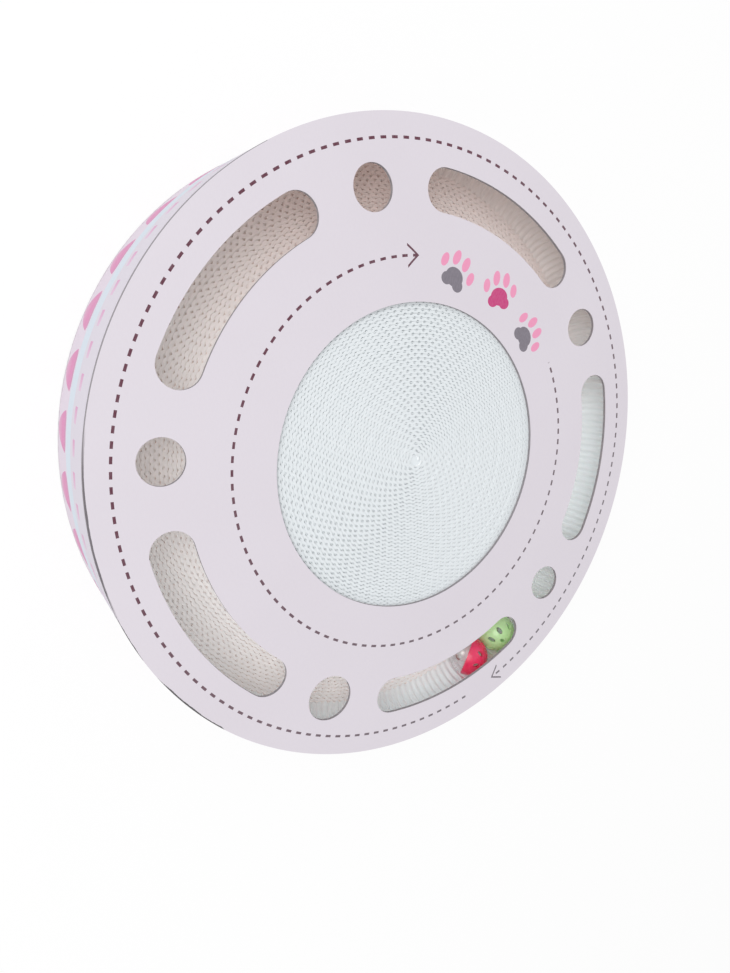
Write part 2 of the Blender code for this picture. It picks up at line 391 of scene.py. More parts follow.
@dataclass(frozen=True)
class FacePrint(Finish):
    """White printed paper of the top panel."""

    paper: Colour = Colour(223, 217, 225)
    tone: Colour = Colour(216, 209, 217)
    ink: Colour = Colour(92, 42, 60)
    ink_far: Colour = Colour(114, 108, 114)
    ink_fade: float = radians(-40.0)
    ink_fade_rate: float = 3.2
    ink_fade_middle: float = 0.4
    cut_edge: Colour = Colour(168, 163, 168)
    # Painted shade: dark lines along parts of the rim, where the board's edge leaves a shaded gap.
    rim_shade_marks: tuple[RimShadeMark, ...] = (
        RimShadeMark(Colour(148, 144, 150), radians(163.0), 157.0 * MM, 199.7 * MM),
        RimShadeMark(Colour(112, 107, 112), radians(190.0), 192.6 * MM, 200.0 * MM, 1.6 * MM, 5.0 * MM),
        RimShadeMark(Colour(88, 86, 88), radians(216.0), 191.0 * MM, 201.0 * MM, 2.6 * MM),
    )
    toe_ink: Colour = Colour(236, 150, 186)
    cloud_size: float = 90 * MM
    fibre_size: float = 0.9 * MM
    raggedness_size: float = 34 * MM
    relief: float = 0.05 * MM
    flute_pitch: float = 3.2 * MM
    flute_angle: float = radians(25.0)
    rings: tuple[DashedRing, ...] = (
        DashedRing(187.25 * MM, radians(-61.7), radians(352.0), 150, 0.43),
        DashedRing(124.40 * MM, radians(97.4), radians(296.4), 84, 0.04),
    )
    print_shift: tuple[float, float] = (0.45 * MM, -0.36 * MM)
    paws: tuple[PawPrint, ...] = (
        PawPrint(118.0 * MM, radians(83.0), radians(-24.0), Colour(122, 116, 126)),
        PawPrint(121.5 * MM, radians(65.0), radians(-2.0), Colour(196, 60, 122)),
        PawPrint(117.5 * MM, radians(47.0), radians(-52.0), Colour(122, 116, 126)),
    )

    def shade(self, tree: FinishTree) -> None:
        """Paper colour, print, and the faint washboard of the flutes beneath.

        Args:
            tree: the tree of the new material.
        """
        place = tree.place()
        x, y, _ = tree.split(place)
        print_x, print_y = x - self.print_shift[0], y - self.print_shift[1]
        radius = (print_x * print_x + print_y * print_y) ** 0.5
        angle = tree.math("ARCTAN2", print_y, print_x)
        cloud = tree.noise(place, self.cloud_size)
        fibre = tree.noise(tree.stretched(place, 1.0, 0.35, 1.0), self.fibre_size, 2.0)
        paper = tree.mix(cloud * 0.7 + fibre * 0.4 - 0.05, self.paper, self.tone)
        faded = toward(x, y, self.ink_fade) * self.ink_fade_rate + self.ink_fade_middle
        ink = tree.mix(faded, self.ink, self.ink_far)
        cover = 0.86 + fibre * 0.22
        lines = self.rings[0].mask(radius, angle) | self.rings[1].mask(radius, angle)
        printed = tree.mix(lines * cover, paper, ink)
        for paw in self.paws:
            pad, toes = paw.masks(x, y)
            printed = tree.mix(pad * cover, printed, paw.pad_ink)
            printed = tree.mix(toes * cover, printed, self.toe_ink)
        # Painted shade along the rim: each mark darkens the face near its edge towards the mark's heading,
        # with a ragged inner border.
        rim = (x * x + y * y) ** 0.5
        raggedness = tree.noise(place, self.raggedness_size) + fibre * 0.15
        for mark in self.rim_shade_marks:
            scuffs_and_rim_shade = rim + raggedness * mark.raggedness > mark.radius
            reached = (toward(x, y, mark.heading) - mark.reach) * (1.0 / mark.fade)
            printed = tree.mix(scuffs_and_rim_shade * reached, printed, mark.colour)
        colour = tree.mix(tree.facing_up() > 0.5, self.cut_edge, printed)
        wave = tree.math("SINE", toward(x, y, self.flute_angle) * (tau / self.flute_pitch))
        height = wave * 0.12 + fibre * 0.6
        tree.surface({
            "Base Color": colour,
            "Roughness": 0.46 + fibre * 0.16,
            "Specular IOR Level": 0.4,
            "Normal": tree.bump(height, self.relief, 0.5),
        })


@dataclass(frozen=True)
class SidePrint(Finish):
    """Printed paper round the side: a stripe, scallops below it and short bars above it."""

    paper: Colour = Colour(232, 220, 233)
    upper: Colour = Colour(224, 218, 229)
    scallop: Colour = Colour(224, 132, 184)
    scallop_brow: Colour = Colour(204, 138, 176)
    stripe: Colour = Colour(218, 230, 241)
    bar: Colour = Colour(224, 158, 200)
    bar_tail: Colour = Colour(230, 200, 224)
    cut_edge: Colour = Colour(226, 218, 226)
    count: int = 37
    first: float = radians(139.0)
    scallop_low: float = 3.0 * MM
    scallop_high: float = 27.5 * MM
    scallop_share: float = 0.72
    corner: float = 3.5 * MM
    stripe_low: float = 29.5 * MM
    stripe_high: float = 44.5 * MM
    bar_low: float = 51.2 * MM
    bar_high: float = 57.4 * MM
    bar_share: float = 0.52
    bar_lead: float = radians(1.25)
    fibre_size: float = 1.0 * MM
    cloud_size: float = 60 * MM
    relief: float = 0.06 * MM

    def repeat(self, turn: Signal, first: float, count: int) -> Signal:
        """How far a point is from the middle of its own repeat: 0 at the middle, 1 and -1 at the borders."""
        return (((turn - first) * (count / tau) + 0.5) % 1.0 - 0.5) * 2.0

    def shade(self, tree: FinishTree) -> None:
        """Bands by height, with the scallops and bars repeated round the side.

        Args:
            tree: the tree of the new material.
        """
        place = tree.place()
        x, y, z = tree.split(place)
        turn = tree.math("ARCTAN2", y, x)
        fibre = tree.noise(tree.stretched(place, 1.0, 1.0, 0.4), self.fibre_size, 2.0)
        cloud = tree.noise(place, self.cloud_size)
        cover = 0.9 + fibre * 0.16
        colour = tree.mix(z > self.stripe_high, self.paper, self.upper)
        side = abs(self.repeat(turn, self.first, self.count)) / self.scallop_share
        dome = tree.math("MAXIMUM", 1.0 - side ** 2.0, 0.0) ** 0.75
        foot = self.scallop_high - (self.scallop_high - self.scallop_low) * dome
        brow = self.scallop_high - self.corner * side ** 6.0
        scallop = (z < brow) & (z > foot) & (side < 1.0)
        depth = (self.scallop_high - z) / (self.scallop_high - self.scallop_low)
        blush = tree.mix(1.0 - depth * 5.0, self.scallop, self.scallop_brow)
        blush = tree.mix((depth - 0.45) * 0.7, blush, self.paper)
        colour = tree.mix(scallop * cover, colour, blush)
        stripe = (z > self.stripe_low) & (z < self.stripe_high)
        colour = tree.mix(stripe * cover, colour, self.stripe)
        bar = (z > self.bar_low) & (z < self.bar_high)
        along = self.repeat(turn, self.first + self.bar_lead, 2 * self.count)
        bar = bar & (abs(along) < self.bar_share)
        colour = tree.mix(bar * cover, colour, tree.mix(along + 0.5, self.bar, self.bar_tail))
        colour = tree.mix(cloud * 0.12, colour, self.cut_edge)
        colour = tree.mix(abs(tree.facing_up()) > 0.6, colour, self.cut_edge)
        tree.surface({
            "Base Color": colour,
            "Roughness": 0.44 + fibre * 0.16,
            "Specular IOR Level": 0.4,
            "Normal": tree.bump(fibre + cloud * 2.0, self.relief, 0.5),
        })


class Lie(Enum):
    """How a paper lies, which says which of its faces are cut edges."""

    UPRIGHT = "upright"
    FLAT = "flat"
    FACE_DOWN = "face down"


@dataclass(frozen=True)
class Paper(Finish):
    """Plain fibrous board paper, with a rougher and differently toned cut edge."""

    sheet: Colour
    tone: Colour
    cut_edge: Colour
    fleck: Colour
    flecks: float = 0.25
    roughness: float = 0.8
    lie: Lie = Lie.UPRIGHT
    # Painted shade: the paper turns darker and warmer towards one heading of the drum, standing in for the
    # shade in that part of the track.
    painted_shade: Optional[Colour] = None
    painted_shade_heading: float = radians(88.0)
    upright_edge: float = 0.7
    flat_edge: float = 0.8
    cloud_size: float = 26 * MM
    fibre_size: float = 0.7 * MM
    fleck_size: float = 1.3 * MM
    fleck_limit: float = 0.64
    relief: float = 0.12 * MM

    def edge(self, up: Signal) -> Signal:
        """Where the cut edges are.

        Args:
            up: how far a point faces upwards.

        Returns:
            1 on a cut edge and 0 off it.
        """
        if self.lie is Lie.UPRIGHT:
            return abs(up) > self.upright_edge
        return abs(up) < self.flat_edge if self.lie is Lie.FLAT else up > -self.flat_edge

    def shade(self, tree: FinishTree) -> None:
        """Mottled sheet, flecks of fibre, and a fuzzy edge where the knife went.

        Args:
            tree: the tree of the new material.
        """
        place = tree.place()
        cloud = tree.noise(place, self.cloud_size)
        fibre = tree.noise(tree.stretched(place, 1.0, 1.0, 0.45), self.fibre_size, 3.0, 0.65)
        sheet = tree.mix(cloud * 0.6 + fibre * 0.5 - 0.05, self.sheet, self.tone)
        fleck = tree.noise(place, self.fleck_size, 2.0) > self.fleck_limit
        sheet = tree.mix(fleck * self.flecks, sheet, self.fleck)
        edge = self.edge(tree.facing_up())
        colour = tree.mix(edge * (0.85 + fibre * 0.3), sheet, self.cut_edge)
        # Painted shade: blend towards a darker, warmer colour the more a point faces the heading, standing in
        # for the shade that falls there.
        if self.painted_shade is not None:
            x, y, _ = tree.split(place)
            facing = toward(x, y, self.painted_shade_heading) / (x * x + y * y) ** 0.5
            colour = tree.mix(facing * 1.1 + cloud * 0.1 - 0.3, colour, self.painted_shade)
        tree.surface({
            "Base Color": colour,
            "Roughness": self.roughness + fibre * 0.15,
            "Specular IOR Level": 0.25,
            "Normal": tree.bump(fibre, self.relief, 0.6),
        })


@dataclass(frozen=True)
class MouldedPlastic(Finish):
    """Glossy see-through plastic with more or less body, faint flow marks and handling scuffs."""

    colour: Colour
    flow: Colour
    scuff: Colour
    body: float
    gloss: float = 0.22
    flow_size: float = 7 * MM
    scuff_size: float = 1.6 * MM
    scuff_limit: float = 0.68
    relief: float = 0.05 * MM

    def shade(self, tree: FinishTree) -> None:
        """Flow marks in the colour, scuffs in the gloss.

        Args:
            tree: the tree of the new material.
        """
        place = tree.place()
        flow = tree.noise(tree.stretched(place, 1.0, 0.5, 1.6), self.flow_size, 2.0)
        scuff = tree.noise(tree.stretched(place, 1.0, 3.0, 0.4), self.scuff_size, 4.0, 0.7)
        scuffs_and_rim_shade = scuff > self.scuff_limit
        colour = tree.mix(flow * 1.3 - 0.3, self.colour, self.flow)
        tree.surface({
            "Base Color": tree.mix(scuffs_and_rim_shade * 0.16, colour, self.scuff),
            "Roughness": self.gloss + flow * 0.12 + scuffs_and_rim_shade * 0.16,
            "Coat Weight": 0.55 - scuffs_and_rim_shade * 0.3,
            "Coat Roughness": 0.08,
            "Alpha": self.body,
            "IOR": 1.45,
            "Normal": tree.bump(flow + scuff * 0.2, self.relief, 0.4),
        })


@dataclass(frozen=True)
class PlatedMetal(Finish):
    """Nickel plate on pressed steel, with fine draw lines and dull patches."""

    plate: Colour = Colour(236, 234, 230)
    dull: Colour = Colour(208, 205, 199)
    line_size: float = 0.7 * MM
    patch_size: float = 3.0 * MM
    relief: float = 0.02 * MM

    def shade(self, tree: FinishTree) -> None:
        """Draw lines in the gloss and dull patches in the colour.

        Args:
            tree: the tree of the new material.
        """
        place = tree.place()
        lines = tree.noise(tree.stretched(place, 0.3, 0.3, 6.0), self.line_size, 2.0)
        patch = tree.noise(place, self.patch_size, 3.0)
        tree.surface({
            "Base Color": tree.mix(patch * 1.4 - 0.35, self.plate, self.dull),
            "Metallic": 1.0,
            "Roughness": 0.24 + lines * 0.14 + patch * 0.12,
            "Normal": tree.bump(lines, self.relief, 0.4),
        })


@dataclass(frozen=True)
class StudioFloor(Finish):
    """White sweep that stays white to the eye and still takes the soft shadow."""

    white: Colour = Colour(205, 205, 205)
    seen_white: Colour = Colour(252, 252, 252)
    glow: float = 0.86

    def shade(self, tree: FinishTree) -> None:
        """Part glow, part paper, to camera and mirror rays alike.

        Args:
            tree: the tree of the new material.
        """
        seen = tree.seen()
        colour = tree.mix(seen, self.white, self.seen_white)
        paper = tree.node("ShaderNodeBsdfDiffuse", None, {"Color": colour})
        glow = tree.node("ShaderNodeEmission", None, {"Color": WHITE_LIGHT, "Strength": 1.0})
        tree.end(tree.node("ShaderNodeMixShader", None, {0: seen * self.glow, 1: paper, 2: glow}))


# Modelling by hand


def clear() -> None:
    """Leave edit mode and let go of everything."""
    if bpy.context.object and bpy.context.object.mode != "OBJECT":
        bpy.ops.object.mode_set(mode="OBJECT")
    bpy.ops.object.select_all(action="DESELECT")


def take(piece: Object) -> None:
    """Select one piece alone and make it active.

    Args:
        piece: the piece.
    """
    clear()
    piece.select_set(True)
    bpy.context.view_layer.objects.active = piece


def settle(name: str) -> Object:
    """Name the active object and put its place, turn and size into its mesh.

    Args:
        name: the object's name.

    Returns:
        The object.
    """
    piece = bpy.context.object
    piece.name = name
    piece.data.name = name
    take(piece)
    bpy.ops.object.transform_apply(location=True, rotation=True, scale=True)
    return piece


def edit() -> None:
    """Enter edit mode with everything selected."""
    bpy.ops.object.mode_set(mode="EDIT")
    bpy.ops.mesh.select_all(action="SELECT")


def tidy_mesh() -> None:
    """Merge doubles, turn all faces outwards and leave edit mode."""
    bpy.ops.mesh.select_all(action="SELECT")
    bpy.ops.mesh.remove_doubles(threshold=MERGE_DISTANCE)
    bpy.ops.mesh.normals_make_consistent(inside=False)
    bpy.ops.object.mode_set(mode="OBJECT")


def modify(piece: Object, kind: str, **settings: Any) -> None:
    """Add a modifier, set it and apply it.

    Args:
        piece: the piece to change.
        kind: the modifier's type.
        settings: the modifier's settings.
    """
    take(piece)
    modifier = piece.modifiers.new(kind.lower(), kind)
    for key, value in settings.items():
        setattr(modifier, key, value)
    bpy.ops.object.modifier_apply(modifier=modifier.name)


def round_edges(piece: Object, width: float, segments: int) -> None:
    """Bevel the sharp edges of a piece."""
    modify(piece, "BEVEL", width=width, segments=segments, limit_method="ANGLE", angle_limit=SHARP_EDGE)


def smooth(piece: Object, angle: float = radians(35.0)) -> None:
    """Shade smooth, with edges sharper than the angle kept."""
    take(piece)
    bpy.ops.object.shade_smooth_by_angle(angle=angle)


def disc(name: str, radius: float, low: float, high: float, sides: int, at: Vector = Vector()) -> Object:
    """A flat round blank.

    Args:
        name: its name.
        radius: its radius.
        low: height of its underside.
        high: height of its upper side.
        sides: facets round it.
        at: its middle, in plan.

    Returns:
        The blank.
    """
    clear()
    bpy.ops.mesh.primitive_circle_add(
        vertices=sides, radius=radius, fill_type="NGON", location=(at.x, at.y, low))
    return raise_blank(name, high - low)


def raise_blank(name: str, height: float) -> Object:
    """Extrude the active flat face upwards into a closed blank.

    Args:
        name: its name.
        height: how far it is raised.

    Returns:
        The blank.
    """
    edit()
    bpy.ops.mesh.extrude_region_move(TRANSFORM_OT_translate={"value": (0.0, 0.0, height)})
    tidy_mesh()
    return settle(name)


def outline(name: str, points: np.ndarray, faces: bool, closed: bool) -> Object:
    """Put a drawn outline on the bench as the active object.

    Args:
        name: its name.
        points: its corners, three coordinates each.
        faces: whether it is filled.
        closed: whether it runs back to its start.

    Returns:
        The outline.
    """
    count = len(points)
    edges = [(i, (i + 1) % count) for i in range(count if closed else count - 1)]
    mesh = bpy.data.meshes.new(name)
    mesh.from_pydata(points.tolist(), [] if faces else edges, [list(range(count))] if faces else [])
    piece = bpy.data.objects.new(name, mesh)
    bpy.context.scene.collection.objects.link(piece)
    take(piece)
    return piece


def standing_sheet(
    name: str, line: np.ndarray, heights: Sequence[float], thickness: float, closed: bool
) -> Object:
    """A sheet that stands on edge along a line.

    Args:
        name: its name.
        line: points of its middle, in plan.
        heights: heights of its lower edge, of any creases, and of its upper edge.
        thickness: thickness of the sheet.
        closed: whether it runs back to its start.

    Returns:
        The sheet.
    """
    piece = outline(name, lifted(line, heights[0]), False, closed)
    edit()
    for low, high in zip(heights, heights[1:]):
        bpy.ops.mesh.extrude_edges_move(TRANSFORM_OT_translate={"value": (0.0, 0.0, high - low)})
    tidy_mesh()
    modify(piece, "SOLIDIFY", thickness=thickness, offset=0.0, use_even_offset=True)
    return piece


def turned(name: str, profile: Section, steps: int) -> Object:
    """A piece spun from its section about the upright axis.

    Args:
        name: its name.
        profile: corners of the closed section, as radius and height.
        steps: facets round it.

    Returns:
        The piece.
    """
    points = np.array([(radius, 0.0, height) for radius, height in profile])
    piece = outline(name, points, False, True)
    edit()
    bpy.ops.mesh.spin(steps=steps, angle=tau, center=(0.0, 0.0, 0.0), axis=UP)
    tidy_mesh()
    dissolve_slivers(piece)
    return piece


def dissolve_slivers(piece: Object) -> None:
    """Remove faces and edges that the axis closed to nothing.

    Args:
        piece: the piece to clean.
    """
    take(piece)
    edit()
    bpy.ops.mesh.dissolve_degenerate(threshold=MERGE_DISTANCE)
    bpy.ops.mesh.select_all(action="SELECT")
    bpy.ops.mesh.delete_loose()
    tidy_mesh()


class Cut(Enum):
    """What a cutting tool does to a piece."""

    AWAY = "DIFFERENCE"
    TO_SHAPE = "INTERSECT"


def join(pieces: list[Object]) -> Object:
    """Join pieces into the first of them.

    Args:
        pieces: the pieces.

    Returns:
        The joined piece.
    """
    take(pieces[0])
    for piece in pieces:
        piece.select_set(True)
    bpy.ops.object.join()
    return bpy.context.object


def cut(piece: Object, tool: Object, way: Cut = Cut.AWAY) -> None:
    """Cut a piece with a solid tool, which stays."""
    modify(piece, "BOOLEAN", operation=way.value, object=tool, solver="MANIFOLD")


def discard(*tools: Object) -> None:
    """Remove tools that are no longer needed.

    Args:
        tools: the tools.
    """
    for tool in tools:
        mesh = tool.data
        bpy.data.objects.remove(tool)
        bpy.data.meshes.remove(mesh)


def reshape(piece: Object, move: Callable[[np.ndarray], np.ndarray]) -> None:
    """Move the points of a mesh.

    Args:
        piece: the piece to change.
        move: gives the new points for the old ones.
    """
    mesh = piece.data
    points = np.empty(len(mesh.vertices) * 3)
    mesh.vertices.foreach_get("co", points)
    mesh.vertices.foreach_set("co", np.ascontiguousarray(move(points.reshape(-1, 3))).ravel())
    mesh.update()


def put(piece: Object, turn: Quaternion, at: Vector) -> None:
    """Turn a mesh about the origin and move it to its place."""
    piece.data.transform(Matrix.Translation(at) @ turn.to_matrix().to_4x4())
    piece.data.update()


# Sub-assemblies


@dataclass
class Piece:
    """One finished mesh with the part it stands for."""

    mesh: Object
    body: str
    node: str
    slot: Slot
    finish: Material


@dataclass
class SubAssembly(ABC):
    """Pieces that are modelled together and then dressed."""

    pieces: list[Piece] = field(default_factory=list, init=False)

    @abstractmethod
    def build(self) -> None:
        """Model the pieces."""

    def add(self, mesh: Object, node: str, slot: Slot, finish: Material, body: str = DRUM) -> None:
        """Keep a finished mesh with the part it stands for."""
        self.pieces.append(Piece(mesh, body, node, slot, finish))

    def dress(self) -> None:
        """Give each piece its finish, its body and the node it stands for."""
        for piece in self.pieces:
            piece.mesh.data.materials.clear()
            piece.mesh.data.materials.append(piece.finish)
            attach(piece.mesh, piece.body)
            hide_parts(piece.node)
            triangles = sum(len(face.vertices) - 2 for face in piece.mesh.data.polygons)
            LOG.info("%s: %d triangles, on %s", piece.mesh.name, triangles, piece.body)


def ring_line(radius: float, count: int, start: float = 0.0, span: float = tau) -> np.ndarray:
    """Points of a circle, or of an arc from its first angle; a whole turn leaves out the last point."""
    return polar_line(radius, start + span * np.linspace(0.0, 1.0, count, endpoint=span < tau))


def polar_line(radius: Union[float, np.ndarray], angles: np.ndarray) -> np.ndarray:
    """Points in plan from their radius and angle."""
    return np.column_stack([radius * np.cos(angles), radius * np.sin(angles)])


def lifted(plan: np.ndarray, height: float) -> np.ndarray:
    """Points in plan put at a height."""
    return np.column_stack([plan, np.full(len(plan), height)])


@dataclass
class BoardPanel(SubAssembly):
    """A round board: two liners with a wavy medium glued between them."""

    node: str
    upper: Material
    lower: Material
    medium: Material
    slot: Slot
    liner: float = 0.38 * MM
    medium_paper: float = 0.62 * MM
    glue: float = 0.02 * MM
    flute_pitch: float = 3.2 * MM
    flute_angle: float = radians(25.0)
    flute_steps: int = 8
    medium_span: float = 2.02
    rim_sides: int = 360
    edge_round: float = 0.14 * MM

    def die(self) -> Optional[Object]:
        """The cutting die, or nothing where the panel has no openings."""
        return None

    def build(self) -> None:
        """Blank the liners, form the medium, and cut all three with the same die."""
        low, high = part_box(self.node)
        radius = high.x
        die = self.die()
        layers = (
            ("upper_liner", self.upper, high.z - self.liner, high.z),
            ("lower_liner", self.lower, low.z, low.z + self.liner),
        )
        for word, finish, bottom, top in layers:
            sheet = disc(f"{self.node}_{word}", radius, bottom, top, self.rim_sides)
            if die:
                cut(sheet, die)
            round_edges(sheet, self.edge_round, segments=2)
            smooth(sheet)
            modify(sheet, "WEIGHTED_NORMAL", keep_sharp=True, weight=100)
            self.add(sheet, self.node, self.slot, finish)
        medium = self.form_medium(radius, low.z + self.liner + self.glue, high.z - self.liner - self.glue)
        if die:
            cut(medium, die)
            discard(die)
        smooth(medium)
        self.add(medium, self.node, self.slot, self.medium)

    def form_medium(self, radius: float, low: float, high: float) -> Object:
        """The wavy sheet between the liners.

        Args:
            radius: radius that it is trimmed to.
            low: height of its troughs.
            high: height of its crests.

        Returns:
            The sheet.
        """
        length = self.medium_span * radius
        columns = round(length / self.flute_pitch * self.flute_steps)
        clear()
        bpy.ops.mesh.primitive_grid_add(x_subdivisions=columns, y_subdivisions=1, size=length)
        sheet = settle(f"{self.node}_medium")
        middle = (low + high) / 2
        swing = (high - low - self.medium_paper) / 2

        def wave(points: np.ndarray) -> np.ndarray:
            """Lift each line of points onto the wave."""
            points[:, 2] = middle + swing * np.sin(points[:, 0] * tau / self.flute_pitch)
            return points

        reshape(sheet, wave)
        modify(sheet, "SOLIDIFY", thickness=self.medium_paper, offset=0.0, use_even_offset=True)
        put(sheet, Quaternion(UP, self.flute_angle), Vector())
        rim = disc(f"{self.node}_trim", radius, low - MM, high + MM, self.rim_sides)
        cut(sheet, rim, Cut.TO_SHAPE)
        discard(rim)
        return sheet


@dataclass
class TopPanel(BoardPanel):
    """The printed panel, with the pad opening, five curved slots and five holes."""

    opening_radius: float = 97.5 * MM
    opening_sides: int = 240
    count: int = 5
    middle_radius: float = 162.0 * MM
    slot_width: float = 25.2 * MM
    slot_half_span: float = radians(18.2)
    slot_steps: int = 26
    end_steps: int = 18
    hole_radius: float = 12.9 * MM
    loading_radius: float = 15.15 * MM
    loading_hole: int = 3
    hole_sides: int = 72

    def slot_outline(self, heading: float, low: float) -> np.ndarray:
        """The outline of one curved slot with round ends.

        Args:
            heading: angle of its middle.
            low: height at which it is drawn.

        Returns:
            Its corners.
        """
        half = self.slot_width / 2
        first, last = heading - self.slot_half_span, heading + self.slot_half_span
        outer = ring_line(self.middle_radius + half, self.slot_steps, first, last - first)
        inner = ring_line(self.middle_radius - half, self.slot_steps, last, first - last)
        ends = []
        for angle, begin in ((last, last), (first, first + pi)):
            centre = ring_line(self.middle_radius, 1, angle)
            ends.append(centre + ring_line(half, self.end_steps + 1, begin, pi)[1:-1])
        return lifted(np.vstack([outer, ends[0], inner, ends[1]]), low)

    def die(self) -> Object:
        """The pad opening, the slots and the holes as one cutting tool.

        Returns:
            The tool.
        """
        low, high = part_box(self.node)
        bottom, top = low.z - MM, high.z + MM
        tools = [disc("opening_die", self.opening_radius, bottom, top, self.opening_sides)]
        for number in range(self.count):
            heading = tau * number / self.count
            outline("slot_die", self.slot_outline(heading, bottom), True, True)
            tools.append(raise_blank("slot_die", top - bottom))
            across = heading + pi / self.count
            radius = self.loading_radius if number == self.loading_hole else self.hole_radius
            at = self.middle_radius * Vector((cos(across), sin(across), 0.0))
            tools.append(disc("hole_die", radius, bottom, top, self.hole_sides, at))
        return join(tools)


@dataclass
class SideWall(SubAssembly):
    """The printed wrap, and the corrugated lining that faces the track."""

    wrap: Material
    lining: Material
    wrap_paper: float = 0.35 * MM
    wrap_sides: int = 384
    lap_angle: float = radians(-12.0)
    lap_width: float = 16.0 * MM
    lap_lift: float = 0.3 * MM
    lap_sides: int = 24
    ripple: float = 0.1 * MM
    ripples: tuple[tuple[int, float], ...] = ((7, 1.0), (23, 0.0), (41, 2.0))
    flutes: int = 240
    flute_steps: int = 10
    flute_depth: float = 2.4 * MM
    lining_paper: float = 0.36 * MM
    liner_share: float = 0.9
    ball_room: float = 15.05 * MM
    cove: float = 15.3 * MM
    cove_steps: tuple[float, ...] = (0.15, 0.6, 1.3, 2.5, 4.3, 6.7, 10.0, 15.05)

    def build(self) -> None:
        """Wrap, lap of the wrap, lining flutes and the flat liner behind them."""
        low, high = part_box("side_wrap")
        line = ring_line(high.x - self.wrap_paper / 2 - self.ripple, self.wrap_sides)
        angles = np.arctan2(line[:, 1], line[:, 0])
        waves = sum(np.sin(count * angles + lead) for count, lead in self.ripples)
        ripple = self.ripple * waves / len(self.ripples)
        line *= (1 + ripple / np.hypot(line[:, 0], line[:, 1]))[:, None]
        wrap = standing_sheet("side_wrap_paper", line, (low.z, high.z), self.wrap_paper, True)
        lap_line = ring_line(
            high.x + self.lap_lift / 2, self.lap_sides, self.lap_angle, self.lap_width / high.x)
        lap = standing_sheet("side_wrap_lap", lap_line, (low.z, high.z), self.lap_lift, False)
        for sheet in (wrap, lap):
            smooth(sheet)
            self.add(sheet, "side_wrap", Slot.PRINTED_PAPER, self.wrap)
        self.build_lining()

    def build_lining(self) -> None:
        """A fluted strip with its crests inwards, curved in at its foot, and the flat liner behind it."""
        low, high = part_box("wall_lining")
        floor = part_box("floor_coil")[1].z
        outer = high.x
        count = self.flutes * self.flute_steps
        angles = np.arange(count) * tau / count
        middle = outer - self.lining_paper - self.lining_paper / 2
        radius = middle - (self.flute_depth - self.lining_paper) * (0.5 - 0.5 * np.cos(angles * self.flutes))
        wave = polar_line(radius, angles)
        heights = (*(floor + step * MM for step in self.cove_steps), high.z)
        flutes = standing_sheet("wall_lining_flutes", wave, heights, self.lining_paper, True)

        def curve_in(points: np.ndarray) -> np.ndarray:
            """Bring the foot of the strip inwards, clear of a passing ball.

            Args:
                points: the strip's points.

            Returns:
                The points with the foot curved in.
            """
            below = np.clip(floor + self.ball_room - points[:, 2], 0.0, self.cove)
            inward = np.clip(self.ball_room - np.sqrt(self.cove**2 - below**2), 0.0, None)
            points[:, :2] *= (1.0 - inward / np.hypot(points[:, 0], points[:, 1]))[:, None]
            return points

        reshape(flutes, curve_in)
        flat = ring_line(outer - self.lining_paper / 2, self.wrap_sides)
        paper = self.lining_paper * self.liner_share
        liner = standing_sheet("wall_lining_liner", flat, (low.z, high.z), paper, True)
        for sheet in (flutes, liner):
            smooth(sheet)
            self.add(sheet, "wall_lining", Slot.WHITE_CORRUGATED, self.lining)


@dataclass(frozen=True)
class FluteSpan:
    """A stretch of the wound medium with its own fineness and finish."""

    name: str
    start: float
    end: float
    steps: int
    finish: Material


